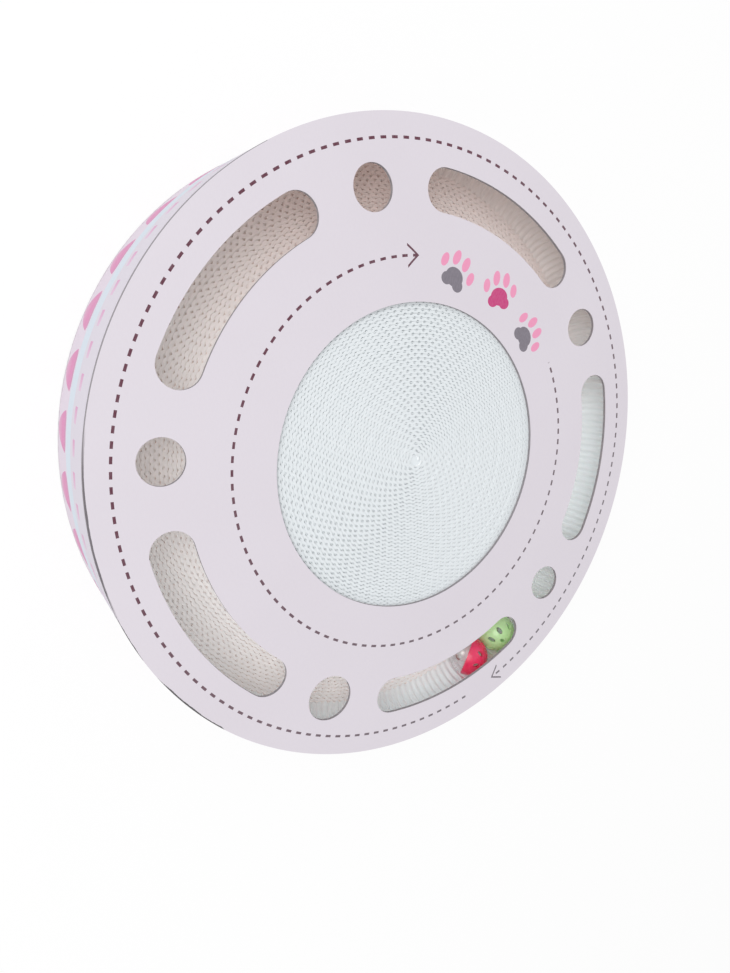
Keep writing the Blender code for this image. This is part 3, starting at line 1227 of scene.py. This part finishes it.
@dataclass
class WoundCoil(SubAssembly):
    """A corrugated strip wound on edge: a flat liner, and flutes with small wells on both sides in turn."""

    node: str
    finish: Material
    inner: float
    outer: float
    turns: int
    spans: tuple[FluteSpan, ...]
    liner_steps: int
    well_length: float
    well_width: float
    well_floor: float
    flute_length: float
    lean: float = 0.0
    lean_heading: float = radians(140.0)
    press: float = 0.0
    press_heading: float = radians(115.0)
    core_drop: Optional[float] = None
    liner_paper: float = 0.45 * MM
    glue: float = 0.02 * MM
    unevenness: float = 0.28 * MM
    sink: float = 0.35
    sink_by_turn: float = 0.30
    sink_round: float = 0.35
    sink_waves: float = 3.0
    sink_drift: float = 1.7
    drift: float = 2.4
    well_size: float = 0.86
    well_spread: float = 0.24
    crease: float = radians(50.0)
    core_steps: int = 60
    core_ends: float = 0.02
    core_round: float = 0.4 * MM

    @property
    def pitch(self) -> float:
        """Distance from one turn to the next."""
        return (self.outer - self.inner) / self.turns

    @property
    def bulk(self) -> float:
        """Thickness of the crushed flutes in one turn."""
        return self.pitch - self.liner_paper - 2 * self.glue

    @property
    def flute_offset(self) -> float:
        """Distance from the start of a turn to the middle of its flutes."""
        return self.liner_paper + self.glue + self.bulk / 2

    def angle_at(self, run: np.ndarray) -> np.ndarray:
        """Angle reached after a run of strip."""
        rate = self.pitch / tau
        return (np.sqrt(self.inner**2 + 2 * rate * run) - self.inner) / rate

    def run_at(self, radius: Union[float, np.ndarray]) -> Union[float, np.ndarray]:
        """Run of strip wound up to a radius."""
        return (radius**2 - self.inner**2) / (2 * self.pitch / tau)

    def build(self) -> None:
        """Wind the liner, then each stretch of the flutes against it, and fill the middle."""
        low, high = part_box(self.node)
        angles = np.arange(0.0, tau * (self.turns - 1), tau / self.liner_steps)
        self.wind("liner", angles, self.liner_paper / 2, self.liner_paper, (low.z, high.z), self.finish)
        creased = (low.z, high.z - self.well_floor, high.z)
        for span in self.spans:
            step = self.flute_length / span.steps
            first, last = (ceil(self.run_at(radius) / step) for radius in (span.start, span.end))
            angles = self.angle_at(step * np.arange(first, last + 1))
            strip = self.wind(span.name, angles, self.flute_offset, self.bulk, creased, span.finish)
            reshape(strip, self.open_wells)
        for piece in self.pieces:
            reshape(piece.mesh, self.stand_unevenly)
            smooth(piece.mesh, self.crease)
        if self.core_drop is not None:
            self.fill_core(low.z, high.z - self.core_drop)

    def fill_core(self, low: float, high: float) -> None:
        """Fill the middle with the flattened start of the strip.

        Args:
            low: height of its lower end.
            high: height of its upper end.
        """
        angles = np.linspace(self.core_ends, tau - self.core_ends, self.core_steps)
        radius = self.inner + self.pitch * angles / tau - self.glue
        outline(f"{self.node}_core", lifted(polar_line(radius, angles), low), True, True)
        core = raise_blank(f"{self.node}_core", high - low)
        round_edges(core, self.core_round, segments=3)
        smooth(core)
        self.add(core, self.node, Slot.WHITE_CORRUGATED, self.finish)

    def wind(
        self, word: str, angles: np.ndarray, offset: float, paper: float, heights: Sequence[float],
        finish: Material,
    ) -> Object:
        """Stand one strip on edge along its winding.

        Args:
            word: the strip's own name, after the coil's.
            angles: angle of each point.
            offset: distance of its middle from the start of a turn.
            paper: thickness of the strip.
            heights: heights of its lower edge, of any creases, and of its upper edge.
            finish: its material.

        Returns:
            The strip.
        """
        line = polar_line(self.inner + self.pitch * angles / tau + offset, angles)
        strip = standing_sheet(f"{self.node}_{word}", line, heights, paper, False)
        self.add(strip, self.node, Slot.WHITE_CORRUGATED, finish)
        return strip

    def turn_of(self, points: np.ndarray) -> np.ndarray:
        """Number of turns wound before each point, measured at the middle of the flutes."""
        across = np.hypot(points[:, 0], points[:, 1]) - self.inner - self.flute_offset
        return across / self.pitch - np.arctan2(points[:, 1], points[:, 0]) / tau

    def open_wells(self, points: np.ndarray) -> np.ndarray:
        """Press the sides of the flutes in at the top, wherever a well is left.

        Args:
            points: the strip's points.

        Returns:
            The points with the wells open.
        """
        turn = self.turn_of(points)
        number = np.round(turn)
        side = np.where(turn < number, 1.0, -1.0)
        around = np.arctan2(points[:, 1], points[:, 0])
        run = self.run_at(self.inner + self.pitch * (number + around / tau))
        phase = run / self.flute_length + 0.25 * side
        off_middle = np.abs(phase % 1.0 - 0.5) * self.flute_length
        uneven = self.well_size + self.well_spread * np.sin(np.floor(phase) * self.drift)
        uneven = uneven * (1.0 - self.lean * side * np.cos(around - self.lean_heading))
        open_side = np.clip(np.cos(around - self.press_heading), 0.0, 1.0) ** 3
        uneven = uneven * (1.0 - self.press * (1.0 - open_side))
        well = self.well_width * uneven * np.clip(1.0 - off_middle / (self.well_length / 2), 0.0, 1.0)
        top = points[:, 2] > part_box(self.node)[1].z - self.well_floor / 2
        grow = 1.0 + np.where(top, side * well, 0.0) / np.hypot(points[:, 0], points[:, 1])
        points[:, :2] *= grow[:, None]
        return points

    def stand_unevenly(self, points: np.ndarray) -> np.ndarray:
        """Let the turns stand a little unevenly, as a hand-wound strip does.

        Args:
            points: the strip's points.

        Returns:
            The points with their upper edge lowered here and there.
        """
        low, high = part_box(self.node)
        around = np.arctan2(points[:, 1], points[:, 0])
        turn = np.round(self.turn_of(points))
        drop = self.sink + self.sink_by_turn * np.sin(turn * self.drift)
        drop = drop + self.sink_round * np.sin(around * self.sink_waves + turn * self.sink_drift)
        top = points[:, 2] > (low.z + high.z) / 2
        points[:, 2] -= np.where(top, self.unevenness * np.clip(drop, 0.0, 1.0), 0.0)
        return points


class BallColour(Enum):
    """The two balls."""

    RED = "red"
    GREEN = "green"


@dataclass
class RattleBall(SubAssembly):
    """An openwork ball of two halves that lap at the seam, with a pressed bell and its pellet inside."""

    colour: BallColour
    pole: Vector
    spin: float
    looks: Looks
    radius: float = 14.75 * MM
    wall: float = 1.6 * MM
    lap: float = 2.0 * MM
    seam_gap: float = 0.3 * MM
    arc_steps: int = 26
    spin_steps: int = 80
    window_length: float = 6.0 * MM
    window_width: float = 3.6 * MM
    window_rows: tuple[tuple[int, float, float], ...] = ((8, radians(57.0), 1.0), (4, radians(27.0), 0.75))
    edge_round: float = 0.28 * MM
    bell_radius: float = 6.5 * MM
    bell_wall: float = 0.5 * MM
    bell_flange: float = 0.6 * MM
    bell_drop: float = 6.35 * MM
    bell_slot_length: float = 8.0 * MM
    bell_slot_width: float = 1.6 * MM
    bell_slot_neck: float = 0.32
    bell_slot_low: float = 1.2
    bell_slot_high: float = 0.5
    pellet_radius: float = 2.0 * MM
    pellet_drop: float = 3.7 * MM
    pellet_flats: float = 0.03
    pellet_fineness: int = 4
    seam_steps: int = 4
    window_sides: int = 28
    bell_steps: int = 64
    bell_arc_steps: int = 18
    bell_round: float = 0.1 * MM
    bell_turn: float = radians(35.0)
    crease: float = radians(40.0)

    @property
    def centre(self) -> Vector:
        """The ball's middle, where its rolling joint is."""
        name = f"{self.colour.value}_roll"
        return Vector(next(joint["pos_m"] for joint in frame["joints"] if joint["name"] == name))

    def build(self) -> None:
        """The two halves of the shell, then the bell and the pellet."""
        self.build_shell()
        self.build_bell()
        self.build_pellet()

    @staticmethod
    def arc(radius: float, first: float, last: float, steps: int) -> Section:
        """Points of an upright arc about the middle, from one height to another.

        Args:
            radius: radius of the arc.
            first: height of the first point.
            last: height of the last point.
            steps: number of steps.

        Returns:
            Radius and height of each point.
        """
        begin, end = acos(max(-1.0, min(1.0, first / radius))), acos(max(-1.0, min(1.0, last / radius)))
        angles = [begin + (end - begin) * step / steps for step in range(steps + 1)]
        return [(abs(radius * sin(angle)), radius * cos(angle)) for angle in angles]

    def section(self, side: float) -> Section:
        """Section of one half: the coloured half's thin skirt laps over the pale half's tongue.

        Args:
            side: 1 for the coloured half, -1 for the pale one.

        Returns:
            Radius and height of each corner.
        """
        inner = self.radius - self.wall
        between = self.radius - self.wall / 2 + side * self.seam_gap / 4
        drop = 0.0 if side > 0 else self.seam_gap
        low, high = -self.lap / 2 - drop, self.lap / 2 - drop
        return [
            *self.arc(self.radius, side * self.radius, low, self.arc_steps),
            *self.arc(between, low, high, self.seam_steps),
            *self.arc(inner, high, side * inner, self.arc_steps),
        ]

    def window_cutter(self, side: float) -> Object:
        """The oval windows of one half, each along its meridian, as one cutting tool.

        Args:
            side: 1 for the half about the pole, -1 for the other.

        Returns:
            The tool.
        """
        tools = []
        at = (0.0, 0.0, self.radius - self.wall / 2)
        for count, polar, share in self.window_rows:
            tilt = Quaternion((0.0, 1.0, 0.0), polar if side > 0 else pi - polar)
            for number in range(count):
                clear()
                bpy.ops.mesh.primitive_cylinder_add(
                    vertices=self.window_sides, radius=0.5, depth=4 * self.wall, location=at)
                bpy.context.object.scale = (self.window_length * share, self.window_width * share, 1.0)
                tools.append(settle("window_cutter"))
                put(tools[-1], Quaternion(UP, tau * (number + 0.5) / count) @ tilt, Vector())
        return join(tools)

    def build_shell(self) -> None:
        """Spin each half, cut its windows, round the edges and put it in the track."""
        turn = self.pole.normalized().to_track_quat("Z", "Y") @ Quaternion(UP, self.spin)
        name = self.colour.value
        halves = (
            (f"{name}_half", 1.0, f"{name}_plastic"),
            (f"{name}_ball_pale_half", -1.0, "pale_plastic"),
        )
        for node, side, plastic in halves:
            half = turned(f"{node}_shell", self.section(side), self.spin_steps)
            cutter = self.window_cutter(side)
            cut(half, cutter)
            discard(cutter)
            round_edges(half, self.edge_round, segments=3)
            smooth(half, self.crease)
            put(half, turn, self.centre)
            self.add(half, node, Slot(plastic), self.looks[plastic], f"{name}_ball")

    def build_bell(self) -> None:
        """Press the cap and the cup, cut the sound slot, and hang the bell in the ball."""
        name = self.colour.value
        at = self.centre - Vector((0.0, 0.0, self.bell_drop))
        for word, side in (("cap", 1.0), ("cup", -1.0)):
            node = f"{name}_bell_{word}"
            shell = turned(f"{node}_shell", self.bell_section(side), self.bell_steps)
            if side < 0:
                self.cut_bell_slot(shell)
            round_edges(shell, self.bell_round, segments=2)
            smooth(shell, self.crease)
            put(shell, Quaternion(UP, self.bell_turn), at)
            self.add(shell, node, Slot.BELL_METAL, self.looks["bell_plate"], f"{name}_bell")

    def bell_section(self, side: float) -> Section:
        """Section of one half of the bell, with its flange at the middle.

        Args:
            side: 1 for the cap, -1 for the cup.

        Returns:
            Radius and height of each corner.
        """
        gap = self.seam_gap / 2
        rise = gap + self.bell_wall
        inner = self.bell_radius - self.bell_wall
        brim = self.bell_radius + self.bell_flange
        section = [
            *self.arc(self.bell_radius, self.bell_radius, rise, self.bell_arc_steps),
            (brim, rise),
            (brim, gap),
            *self.arc(inner, gap, inner, self.bell_arc_steps),
        ]
        return [(radius, side * height) for radius, height in section]

    def cut_bell_slot(self, cup: Object) -> None:
        """Cut the sound slot, with a round eye at each end, in the bottom of the cup.

        Args:
            cup: the cup's shell.
        """
        half = self.bell_slot_length / 2 - self.bell_slot_width / 2
        low, high = -self.bell_slot_low * self.bell_radius, -self.bell_slot_high * self.bell_radius
        plan = np.array([(-half, -1.0), (half, -1.0), (half, 1.0), (-half, 1.0)])
        plan[:, 1] *= self.bell_slot_width * self.bell_slot_neck
        outline("bell_slot_die", lifted(plan, low), True, True)
        tools = [raise_blank("bell_slot_die", high - low)]
        for end in (-half, half):
            at = Vector((end, 0.0, 0.0))
            tools.append(disc("bell_eye_die", self.bell_slot_width / 2, low, high, self.window_sides, at))
        for tool in tools:
            cut(cup, tool)
        discard(*tools)

    def build_pellet(self) -> None:
        """A tumbled steel pellet, not quite round."""
        name = self.colour.value
        at = self.centre - Vector((0.0, 0.0, self.bell_drop + self.pellet_drop))
        clear()
        bpy.ops.mesh.primitive_ico_sphere_add(subdivisions=self.pellet_fineness, radius=self.pellet_radius)
        pellet = settle(f"{name}_pellet_ball")

        def tumble(points: np.ndarray) -> np.ndarray:
            """Flatten the ball in a few soft places.

            Args:
                points: the ball's points.

            Returns:
                The points brought in a little.
            """
            unit = points / np.linalg.norm(points, axis=1)[:, None]
            waves = np.sin(3.1 * unit[:, 0] + 1.0) * np.sin(2.7 * unit[:, 1]) + np.sin(4.3 * unit[:, 2] + 0.6)
            return points * (1.0 - self.pellet_flats * (0.5 + 0.25 * waves))[:, None]

        reshape(pellet, tumble)
        smooth(pellet, pi)
        put(pellet, Quaternion(), at)
        metal = self.looks["bell_plate"]
        self.add(pellet, f"{name}_bell_pellet", Slot.BELL_METAL, metal, f"{name}_pellet")


# Studio


@dataclass
class Studio:
    """Camera, lights and floor."""

    place: Vector = Vector((-0.25746, 0.06277, 0.4258))
    swing: float = radians(5.9)
    right: Vector = Vector((0.85447, 0.0, 0.51951))
    back: Vector = Vector((-0.50410, 0.24172, 0.82913))
    lens: float = 25.26
    sensor: float = 36.0
    sky: float = 0.72
    key_power: float = 18.0
    bounces: int = 24
    key_size: float = 1.5
    key_place: Vector = Vector((-1.25, 0.45, 1.6))
    floor_side: float = 12.0
    floor_gap: float = 0.2 * MM

    def build(self) -> None:
        """Set up all three, and the plain view transform."""
        scene = bpy.context.scene
        scene.view_settings.view_transform = "Standard"
        scene.cycles.max_bounces = scene.cycles.diffuse_bounces = self.bounces
        self.set_camera()
        self.set_lights()
        self.set_floor()

    def set_camera(self) -> None:
        """Place the camera where the photograph was taken from."""
        turn = Matrix.Rotation(self.swing, 3, "Z")
        back = (turn @ self.back).normalized()
        right = turn @ self.right
        right = (right - right.dot(back) * back).normalized()
        axes = Matrix((right, back.cross(right), back)).transposed()
        data = bpy.data.cameras.new("camera")
        data.lens = self.lens
        data.sensor_width = self.sensor
        data.sensor_fit = "AUTO"
        camera = bpy.data.objects.new("camera", data)
        camera.matrix_world = Matrix.Translation(self.place) @ axes.to_4x4()
        bpy.context.scene.collection.objects.link(camera)
        bpy.context.scene.camera = camera

    def set_lights(self) -> None:
        """An even white sky, and one large soft lamp on the side of the camera."""
        world = bpy.data.worlds.new("studio")
        bpy.context.scene.world = world
        tree = FinishTree(world)
        strength = tree.seen() * (1.0 - self.sky) + self.sky
        shader = tree.node("ShaderNodeBackground", None, {"Color": WHITE_LIGHT, "Strength": strength})
        tree.end(shader, "ShaderNodeOutputWorld")
        data = bpy.data.lights.new("key", "AREA")
        data.shape = "DISK"
        data.size = self.key_size
        data.energy = self.key_power
        lamp = bpy.data.objects.new("key", data)
        lamp.location = self.key_place
        lamp.rotation_euler = self.key_place.to_track_quat("Z", "Y").to_euler()
        bpy.context.scene.collection.objects.link(lamp)

    def set_floor(self) -> None:
        """A white floor under the drum."""
        clear()
        bpy.ops.mesh.primitive_plane_add(size=self.floor_side, location=(0.0, 0.0, -self.floor_gap))
        floor = settle("studio_floor")
        floor.data.materials.append(StudioFloor().make("studio_floor"))


FINISHES: dict[str, Finish] = {
    "printed_face": FacePrint(),
    "printed_side": SidePrint(),
    "pad_paper": Paper(
        Colour(250, 251, 251), Colour(247, 248, 248), Colour(228, 233, 236), Colour(240, 240, 238), 0.2),
    # Flute paper whose sides are darker than the tops: painted shade in the wells between the turns of the
    # pad.
    "pad_flute_paper": Paper(
        Colour(213, 218, 221), Colour(208, 213, 216), Colour(228, 233, 236), Colour(200, 205, 208), 0.2),
    # The track and lining papers carry painted shade: darker and warmer towards one heading of the drum.
    "track_paper": Paper(
        Colour(252, 247, 245), Colour(250, 245, 242), Colour(251, 249, 248), Colour(242, 236, 232),
        0.2, painted_shade=Colour(243, 236, 234)),
    # Flute paper whose sides are darker and warmer than the tops: painted shade in the wells of the track
    # floor.
    "track_flute_paper": Paper(
        Colour(242, 232, 227), Colour(239, 227, 221), Colour(251, 250, 250), Colour(226, 211, 204),
        0.2, painted_shade=Colour(240, 231, 228)),
    "lining_paper": Paper(
        Colour(245, 253, 255), Colour(243, 251, 254), Colour(244, 249, 251), Colour(240, 244, 245),
        0.2, painted_shade=Colour(235, 228, 225)),
    "panel_back_paper": Paper(
        Colour(252, 241, 237), Colour(250, 237, 232), Colour(164, 160, 164), Colour(242, 226, 218),
        0.3, lie=Lie.FACE_DOWN),
    "flute_medium": Paper(
        Colour(166, 161, 165), Colour(158, 153, 157), Colour(162, 157, 161), Colour(144, 139, 142),
        0.35, lie=Lie.FLAT),
    "base_board": Paper(
        Colour(198, 166, 126), Colour(184, 150, 110), Colour(234, 227, 235), Colour(142, 108, 74),
        0.4, lie=Lie.FACE_DOWN),
    "base_medium": Paper(
        Colour(226, 218, 224), Colour(218, 210, 214), Colour(226, 218, 226), Colour(190, 180, 182),
        0.3, lie=Lie.FLAT),
    "kraft_board": Paper(
        Colour(198, 166, 126), Colour(184, 150, 110), Colour(172, 140, 104), Colour(142, 108, 74), 0.4),
    "red_plastic": MouldedPlastic(Colour(255, 42, 98), Colour(255, 78, 134), Colour(255, 164, 198), 0.6),
    "green_plastic": MouldedPlastic(
        Colour(212, 255, 188), Colour(219, 255, 197), Colour(238, 255, 226), 0.62),
    "pale_plastic": MouldedPlastic(
        Colour(250, 252, 255), Colour(248, 250, 254), Colour(252, 253, 254), 0.24),
    "bell_plate": PlatedMetal(),
}


def dress_frame(looks: Looks) -> None:
    """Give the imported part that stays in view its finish.

    Args:
        looks: the materials.
    """
    wall = frame["nodes"]["outer_wall"]
    wall.data.materials.clear()
    wall.data.materials.append(looks["kraft_board"])
    LOG.info("outer_wall: packed part, kraft board")


def sub_assemblies(looks: Looks) -> Iterable[SubAssembly]:
    """List what is built, in order.

    Args:
        looks: the materials.

    Returns:
        The sub-assemblies.
    """
    _, pad_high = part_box("pad_coil")
    _, floor_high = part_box("floor_coil")
    core, seat_gap = 2.5 * MM, 0.3 * MM
    inner_zone, opening = 70.0 * MM, 99.0 * MM
    first_split, second_split = 154.5 * MM, 174.7 * MM
    pad_outer = pad_high.x
    pad_end = pad_outer - 2.6 * MM
    floor_inner, floor_outer = pad_outer + seat_gap, floor_high.x
    floor_end = floor_outer - 2.8 * MM
    # The visible flutes take papers with painted shade on their sides, so the wells look darker.
    pad_flutes_painted_shade, track_flutes_painted_shade = looks["pad_flute_paper"], looks["track_flute_paper"]
    return (
        TopPanel(
            "top_panel", looks["printed_face"], looks["panel_back_paper"], looks["flute_medium"],
            Slot.PRINTED_BOARD),
        BoardPanel(
            "base_panel", looks["base_medium"], looks["base_board"], looks["base_medium"],
            Slot.KRAFT_BOARD),
        SideWall(looks["printed_side"], looks["lining_paper"]),
        WoundCoil(
            "pad_coil", looks["pad_paper"], core, pad_outer, turns=53,
            spans=(
                FluteSpan("flutes", core, inner_zone, 8, pad_flutes_painted_shade),
                FluteSpan("outer_flutes", inner_zone, opening, 8, pad_flutes_painted_shade),
                FluteSpan("hidden_flutes", opening, pad_end, 4, looks["pad_paper"]),
            ),
            liner_steps=72, well_length=2.5 * MM, well_width=0.80 * MM, well_floor=0.9 * MM,
            flute_length=5.07 * MM, core_drop=1.6 * MM),
        WoundCoil(
            "floor_coil", looks["track_paper"], floor_inner, floor_outer, turns=24,
            spans=(
                FluteSpan("inner_flutes", floor_inner, first_split, 8, track_flutes_painted_shade),
                FluteSpan("flutes", first_split, second_split, 8, track_flutes_painted_shade),
                FluteSpan("outer_flutes", second_split, floor_end, 8, track_flutes_painted_shade),
            ),
            liner_steps=144, well_length=2.0 * MM, well_width=0.78 * MM, well_floor=1.4 * MM,
            flute_length=5.17 * MM, lean=0.6, press=0.4),
        RattleBall(BallColour.RED, Vector((0.68, -0.23, 0.70)), radians(-11.0), looks),
        RattleBall(BallColour.GREEN, Vector((0.09, -0.34, 0.94)), radians(1.5), looks),
    )


def main() -> None:
    """Set the studio, then build and dress the scratcher."""
    logging.basicConfig(level=logging.INFO, format="%(message)s")
    Studio().build()
    looks = {name: finish.make(name) for name, finish in FINISHES.items()}
    dress_frame(looks)
    for assembly in sub_assemblies(looks):
        assembly.build()
        assembly.dress()


if __name__ == "__main__":
    main()
